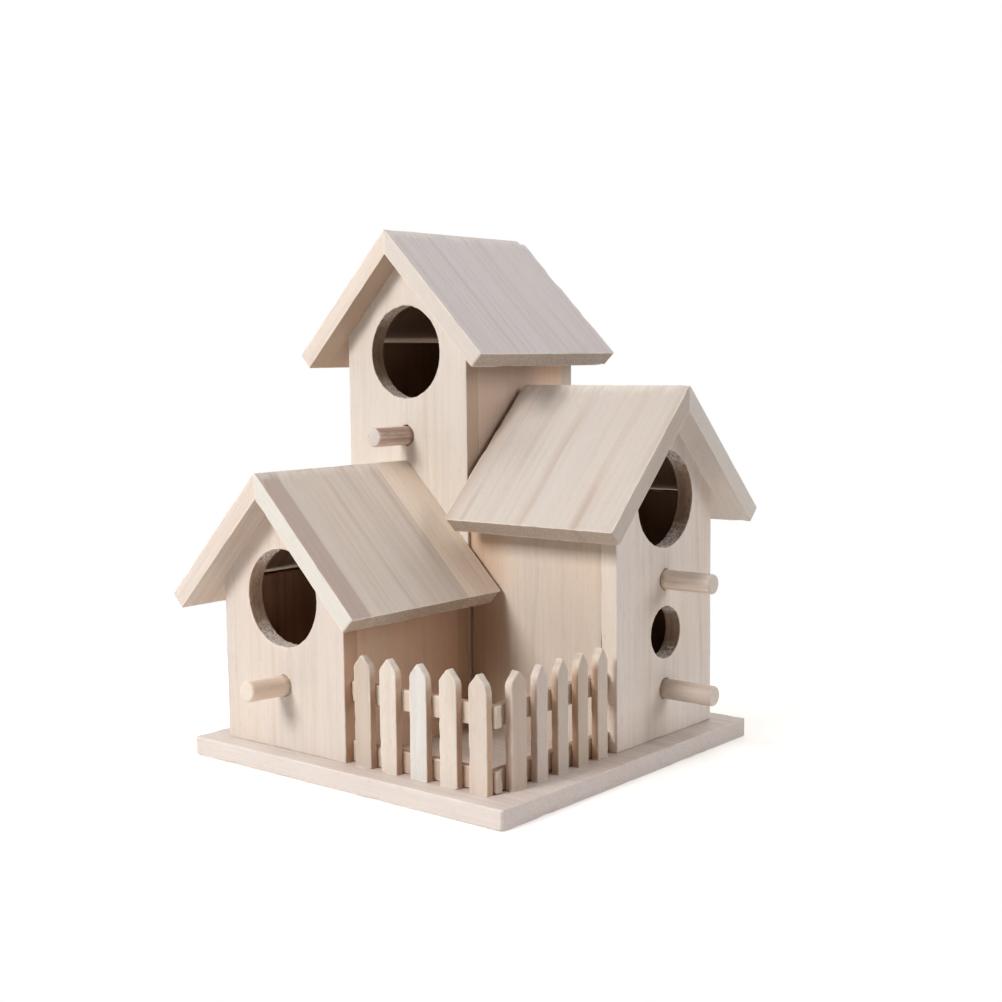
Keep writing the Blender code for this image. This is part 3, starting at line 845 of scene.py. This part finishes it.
def paint_bores(mesh, rims):
    """Gives what the drill has cut the third material, whose darker brown is partly painted shade."""
    for face in mesh.polygons:
        for x, z, radius, _ in rims:
            away = math.hypot(face.center.x - x, face.center.z - z)
            if abs(face.normal.y) < FACING and away < radius + SKIN:
                face.material_index = 2


def make_gable(house, side, space, seed):
    """A front or back wall. The front wall has its entrances, and sockets for the perches."""
    node_name = f"{house.name}_{side}_wall"
    low, high = box_in(space, node_name)
    half = high.x
    peak = high.z + POINT_LOSS + CLOSING * math.sqrt(2)
    foot = low.z - CLOSING
    corners = [(-half, foot), (half, foot), (half, peak - half), (0, peak), (-half, peak - half)]
    thickness = high.y - low.y

    def radius_of(edge):
        outer = all(abs(vert.co.x) > half - TINY and vert.co.y < TINY for vert in edge.verts)
        return SANDED if outer else TIGHT

    mesh, sides = plate(node_name, corners, thickness, radius_of, GABLE, seed)
    rims = []
    if side == "front":
        bores = []
        for number, entrance in enumerate(house.entrances):
            bore = bore_mesh("entrance", entrance.radius, thickness, ENTRANCE_TEAR, seed + number)
            bores.append((bore, (0, entrance.height)))
            perch_low, perch_high = box_in(space, entrance.perch)
            radius = (perch_high.x - perch_low.x) / 2 + SOCKET_CLEARANCE
            height = (perch_low.z + perch_high.z) / 2
            socket = bore_mesh("socket", radius, perch_high.y, SOCKET_TEAR, seed + number + 5, blind=True)
            bores.append((socket, (0, height)))
            rims += [(0, entrance.height, entrance.radius, 0), (0, height, radius, 0)]
            rims.append((0, entrance.height, entrance.radius, thickness))
        mesh = drill(mesh, bores)
        place = space @ placing((0, low.y, 0), (0, 1, 0), (0, 0, 1))
    else:
        place = space @ placing((0, high.y, 0), (0, -1, 0), (0, 0, 1))
    free = house.free_above[side]
    mark_wear(mesh, sides, lambda spot: spot.y < thickness / 2 and spot.z > free, rims)
    paint_inside_shade(mesh, lambda spot, normal: normal.y > FACING and spot.y > thickness - SKIN)
    paint_bores(mesh, rims)
    add_board(node_name, mesh, place, INSIDE_SHADE_WOODS[house.name], BORE_WOODS[house.name])


def make_side_wall(house, side, space, seed):
    """A plain wall between the gables. Its grain is upright."""
    node_name = f"{house.name}_{side}_wall"
    low, high = box_in(space, node_name)
    length = high.y - low.y + CLOSING * 2
    thickness = high.x - low.x
    corners = [(0, low.z - CLOSING), (length, low.z - CLOSING), (length, high.z), (0, high.z)]

    def radius_of(edge):
        return SANDED if all(vert.co.z > high.z - TINY for vert in edge.verts) else TIGHT

    mesh, sides = plate(node_name, corners, thickness, radius_of, SIDE_WALL, seed)
    mark_wear(mesh, sides, lambda spot: spot.z > high.z - NEAR_EDGE)
    # A side wall's inner face and its top under the roof take the painted shade.
    paint_inside_shade(mesh, lambda spot, normal: normal.y > FACING or spot.z > high.z - TINY)
    if side == "left":
        place = placing((low.x, high.y + CLOSING, 0), (1, 0, 0), (0, 0, 1))
    else:
        place = placing((high.x, low.y - CLOSING, 0), (-1, 0, 0), (0, 0, 1))
    add_board(node_name, mesh, space @ place, INSIDE_SHADE_WOODS[house.name])


def make_roof_board(house, side, space, seed):
    """A roof board, mitred at the ridge and cut square at the eave. Its grain runs down the slope."""
    node_name = f"{house.name}_{side}_roof"
    low, high = box_in(space, node_name)
    high.y -= house.cut_short
    length = high.y - low.y
    run = max(high.x, -low.x) + POINT_LOSS
    eave = low.z - POINT_LOSS + ROOF_THICKNESS * math.sqrt(0.5)
    slant = run * math.sqrt(2) - TINY
    ridge = house.ridge_round
    outline = [(0, 0), (0, slant - ridge)]
    for step in range(1, RIDGE_STEPS + 1):
        turn = math.pi / 4 * step / RIDGE_STEPS
        outline.append((ridge - ridge * math.cos(turn), slant - ridge + ridge * math.sin(turn)))
    outline += [(ROOF_THICKNESS, slant - ROOF_THICKNESS), (ROOF_THICKNESS, 0)]
    shape = pushed([(0, y, z) for y, z in outline], (length, 0, 0))
    sides = [(spot, facing) for spot, facing in sides_of(shape) if abs(facing.y - facing.z) < DIAGONAL]

    def radius_of(edge):
        on_mitre = all(vert.co.y + vert.co.z > slant - ridge for vert in edge.verts)
        return 0 if on_mitre else SANDED

    sand(shape, radius_of)
    back = 0 if side == "left" else length
    into = 1 if side == "left" else -1
    rounded = [((back, 0), (into, 1), house.worn_eave),
               ((length - back, 0), (-into, 1), FRONT_EAVE_CORNER),
               ((back, slant), (into, -1), house.worn_ridge)]
    cut_grid(shape, sides, ROOF_BOARD, corner_lines(rounded))
    sharp = {vert: vert.co.z for vert in shape.verts}
    round_corners(shape, rounded)
    for vert, height in sharp.items():
        near_mitre = max(0, 1 - (slant - vert.co.y - height) / RIDGE_WEAR)
        vert.co.y += near_mitre * (height - vert.co.z)
    chipped = [(spot, facing) for spot, facing in sides if facing.y + facing.z < DIAGONAL]
    use_board(shape, chipped, ROOF_BOARD, seed)
    mesh = finished(node_name, shape)
    mark_wear(mesh, sides)
    if side == "left":
        place = placing((-run, high.y, eave), (1, 0, -1), (1, 0, 1))
    else:
        place = placing((run, low.y, eave), (-1, 0, -1), (-1, 0, 1))
    front = box_in(space, f"{house.name}_front_wall")
    rear = box_in(space, f"{house.name}_back_wall")
    half = front[1].x - SIDE_MARGIN
    start, end = front[0].y + GABLE_MARGIN, rear[1].y - GABLE_MARGIN

    def inside(spot, normal):
        seen = place @ spot
        return normal.y > FACING and abs(seen.x) < half and start < seen.y < end

    paint_inside_shade(mesh, inside)
    add_board(node_name, mesh, space @ place, INSIDE_SHADE_WOODS[house.name])


def make_perch(node_name, space, tilt, seed):
    """A dowel that was not quite round to begin with, sanded at its tip and stained at its root."""
    low, high = box_in(space, node_name)
    radius = (high.x - low.x) / 2
    length = high.y - low.y
    straight, core = length - TIP_RADIUS, radius - TIP_RADIUS
    stops = [(straight * step / DOWEL_STEPS, radius) for step in range(DOWEL_STEPS + 1)]
    for step in range(1, TIP_STEPS + 1):
        turn = math.pi / 2 * step / TIP_STEPS
        stops.append((straight + TIP_RADIUS * math.sin(turn), core + TIP_RADIUS * math.cos(turn)))
    stops += [(length, radius * 0.6), (length, radius * 0.25)]
    shift = Vector((seed, seed * 2, 0))
    rings = []
    for height, reach in stops:
        ring = []
        for step in range(DOWEL_TURNS):
            turn = math.tau * step / DOWEL_TURNS
            spot = Vector((radius * math.cos(turn), radius * math.sin(turn), height * 0.5))
            dent = sum(noise.noise(spot * scale + shift) * depth for scale, depth in DENTS)
            ring.append((reach * (1 - abs(dent) / radius), height))
        rings.append(ring)
    mesh = turned(node_name, rings, axis_along_y=False)
    write_wear(mesh, [max(0, 1 - abs(vert.co.z - high.y) / STAIN_REACH) for vert in mesh.vertices])
    lean = Matrix.Translation((0, 0, high.y)) @ Matrix.Rotation(tilt, 4, "X") \
        @ Matrix.Translation((0, 0, -high.y))
    place = space @ placing((0, high.y, (low.z + high.z) / 2), (0, 0, -1), (0, -1, 0)) @ lean
    add_board(node_name, mesh, place)


def make_house(house, seed):
    space = wall_space(f"{house.name}_front_wall", house.turn)
    for number, side in enumerate(("front", "back")):
        make_gable(house, side, space, seed + number)
    for number, side in enumerate(("left", "right")):
        make_side_wall(house, side, space, seed + 2 + number)
        make_roof_board(house, side, space, seed + 4 + number)
    for number, entrance in enumerate(house.entrances):
        make_perch(entrance.perch, space, entrance.perch_tilt, seed + 6 + number)


def make_picket(node_name, space, seed):
    """A picket cut by saw, with a blunted head. Each one sways and is chipped in its own way."""
    low, high = box_in(space, node_name)
    half = (high.x - low.x) / 2
    middle = (high.x + low.x) / 2
    foot, top = low.z - CLOSING, high.z + HEAD_GAIN
    shoulder = top - HEAD_HEIGHT
    corners = blunted([(-half, foot), (half, foot), (half, shoulder), (0, top), (-half, shoulder)],
                      HEAD_CUTS)

    def radius_of(edge):
        return TIGHT if all(vert.co.z < foot + TINY for vert in edge.verts) else SANDED

    mesh, sides = plate(node_name, corners, high.y - low.y, radius_of, PICKET, seed)
    mark_wear(mesh, sides)
    add_board(node_name, mesh, space @ placing((middle, low.y, 0), (0, 1, 0), (0, 0, 1)))


def make_rail(node_name, space, seed):
    """A rail behind a run of pickets, its ends rough from the saw. Its grain runs along the fence."""
    low, high = box_in(space, node_name)
    corners = [(-low.z, low.x), (-high.z, low.x), (-high.z, high.x), (-low.z, high.x)]
    mesh, sides = plate(node_name, corners, high.y - low.y, all_sanded, RAIL, seed)
    mark_wear(mesh, sides)
    add_board(node_name, mesh, space @ placing((0, low.y, 0), (0, 1, 0), (1, 0, 0)))


def make_run(name, turn, seed):
    space = wall_space(f"{name}_picket_3", turn)
    for number in range(1, 6):
        make_picket(f"{name}_picket_{number}", space, seed + number)
    for number, level in enumerate(("lower", "upper")):
        make_rail(f"{name}_{level}_rail", space, seed + 6 + number)


def make_base():
    """The base board. Its grain runs from left to right."""
    low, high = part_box("base_board")
    half_x, half_y = high.x, high.y
    shape = pushed([(-half_y, 0, -half_x), (half_y, 0, -half_x), (half_y, 0, half_x), (-half_y, 0, half_x)],
                   (0, high.z - low.z, 0))
    sides = sides_of(shape)
    sand(shape, all_sanded)
    rounded = [((x * half_y, z * half_x), (-x, -z), BASE_CORNER) for x in (-1, 1) for z in (-1, 1)]
    cut_grid(shape, sides, BASE_BOARD, corner_lines(rounded))
    round_corners(shape, rounded)
    use_board(shape, sides, BASE_BOARD, seed=50)
    mesh = finished("base_board", shape)
    mark_wear(mesh, sides)
    add_board("base_board", mesh, placing((0, 0, high.z), (0, 0, -1), (1, 0, 0)))


# Studio

def make_camera():
    """The photograph's own view: where it stood, where it looked and how long its lens was."""
    azimuth, elevation, roll = 0.69193, 0.09662, -0.010733
    stand = (0.37377, -0.43323, 0.15311)
    focal_pixels, photo_pixels = 1461.3, 1002
    back = Vector((math.sin(azimuth) * math.cos(elevation),
                   -math.cos(azimuth) * math.cos(elevation), math.sin(elevation)))
    right = Vector((math.cos(azimuth), math.sin(azimuth), 0))
    up = back.cross(right)
    rolled_right = right * math.cos(roll) + up * math.sin(roll)
    rolled_up = up * math.cos(roll) - right * math.sin(roll)
    camera = bpy.data.objects.new("camera", bpy.data.cameras.new("camera"))
    camera.matrix_world = Matrix.Translation(stand) \
        @ Matrix((rolled_right, rolled_up, back)).transposed().to_4x4()
    camera.data.sensor_fit = "HORIZONTAL"
    camera.data.sensor_width = 36.0
    camera.data.lens = focal_pixels * camera.data.sensor_width / photo_pixels
    camera.data.clip_start = 0.01
    bpy.context.scene.collection.objects.link(camera)
    bpy.context.scene.camera = camera


def add_lamp(name, azimuth, elevation, distance, size, level, colour):
    """A soft box. At level 1 a surface that faces it renders as its own colour."""
    lamp = bpy.data.lights.new(name, "AREA")
    lamp.shape = "SQUARE"
    lamp.size = size
    lamp.energy = level * (math.pi * distance) ** 2
    lamp.color = colour
    turn, rise = math.radians(azimuth), math.radians(elevation)
    towards = Vector((math.sin(turn) * math.cos(rise), -math.cos(turn) * math.cos(rise), math.sin(rise)))
    stand = bpy.data.objects.new(name, lamp)
    stand.location = Vector((0, 0, 0.09)) + towards * distance
    stand.rotation_euler = towards.to_track_quat("Z", "Y").to_euler()
    bpy.context.scene.collection.objects.link(stand)


def plainly_seen(tree):
    """Where a surface is seen by the camera, in a reflection or through glass."""
    rays = tree.nodes.new("ShaderNodeLightPath").outputs
    indirect = maths(tree, "MAXIMUM", rays["Is Glossy Ray"], rays["Is Transmission Ray"])
    return maths(tree, "MAXIMUM", rays["Is Camera Ray"], indirect)


def make_studio():
    """Soft light from the front left and the back right. Azimuths turn from -Y towards +X."""
    add_lamp("key_softbox", -12, 29, 1.1, 0.36, 0.80, (1.0, 0.99, 0.98))
    add_lamp("left_softbox", -85, 14, 1.1, 0.7, 0.40, (1.0, 0.99, 0.97))
    add_lamp("right_softbox", 118, 25, 1.2, 0.7, 0.42, (0.98, 0.99, 1.0))
    add_lamp("rear_softbox", -155, 30, 1.2, 0.8, 0.30, (1.0, 1.0, 1.0))
    add_lamp("top_softbox", -20, 80, 1.2, 0.9, 0.33, (1.0, 1.0, 1.0))

    world = bpy.data.worlds.new("white_studio")
    bpy.context.scene.world = world
    world.use_nodes = True
    tree = world.node_tree
    tree.nodes.clear()
    tone = mixed(tree, plainly_seen(tree), (0.02, 0.016, 0.012, 1.0), (1.0, 1.0, 1.0, 1.0))
    light = node(tree, "ShaderNodeBackground", None, Color=tone, Strength=1.0)
    end = tree.nodes.new("ShaderNodeOutputWorld")
    tree.links.new(light.outputs[0], end.inputs["Surface"])


def make_floor():
    """A pale sweep that shows white and keeps a soft shadow of the object."""
    reach, drop = 2.5, 0.0002
    shape = bmesh.new()
    bmesh.ops.create_grid(shape, x_segments=8, y_segments=8, size=reach)
    floor = bpy.data.objects.new("floor", finished("floor", shape))
    floor.location = (0, 0, -drop)
    bpy.context.scene.collection.objects.link(floor)
    material = bpy.data.materials.new("pale_paper")
    material.use_nodes = True
    tree = material.node_tree
    shader = tree.nodes["Principled BSDF"]
    spot = tree.nodes.new("ShaderNodeTexCoord").outputs["Object"]
    grain = node(tree, "ShaderNodeTexNoise", None, Scale=60.0, Detail=3.0, Vector=spot)
    away = vectors(tree, "LENGTH", spot)
    near_tone = mixed(tree, grain.outputs["Fac"], (0.88, 0.84, 0.80, 1.0), (0.92, 0.88, 0.84, 1.0))
    tone = mixed(tree, eased(tree, away, 0.16, 0.40), near_tone, (0.45, 0.42, 0.40, 1.0))
    tree.links.new(tone, shader.inputs["Base Color"])
    shader.inputs["Roughness"].default_value = 0.9
    shader.inputs["Specular IOR Level"].default_value = 0.1
    glow = node(tree, "ShaderNodeEmission", None, Color=(1.0, 1.0, 1.0, 1.0), Strength=0.42)
    both = node(tree, "ShaderNodeAddShader", None, i0=shader.outputs[0], i1=glow.outputs[0])
    white = node(tree, "ShaderNodeEmission", None, Color=(1.0, 1.0, 1.0, 1.0), Strength=1.0)
    far = eased(tree, away, 0.11, 0.24)
    faded = node(tree, "ShaderNodeMixShader", None, i0=far, i1=both.outputs[0], i2=white.outputs[0])
    mix = node(tree, "ShaderNodeMixShader", None, i0=plainly_seen(tree), i1=shader.outputs[0],
               i2=faded.outputs[0])
    tree.links.new(mix.outputs[0], tree.nodes["Material Output"].inputs["Surface"])
    floor.data.materials.append(material)


make_camera()
make_studio()
make_floor()
make_base()
for place_number, village_house in enumerate(HOUSES):
    make_house(village_house, seed=60 + place_number * 10)
make_run("fence_front", 0, seed=90)
make_run("fence_side", SIDEWAYS, seed=100)

bpy.context.scene.view_settings.view_transform = "Standard"
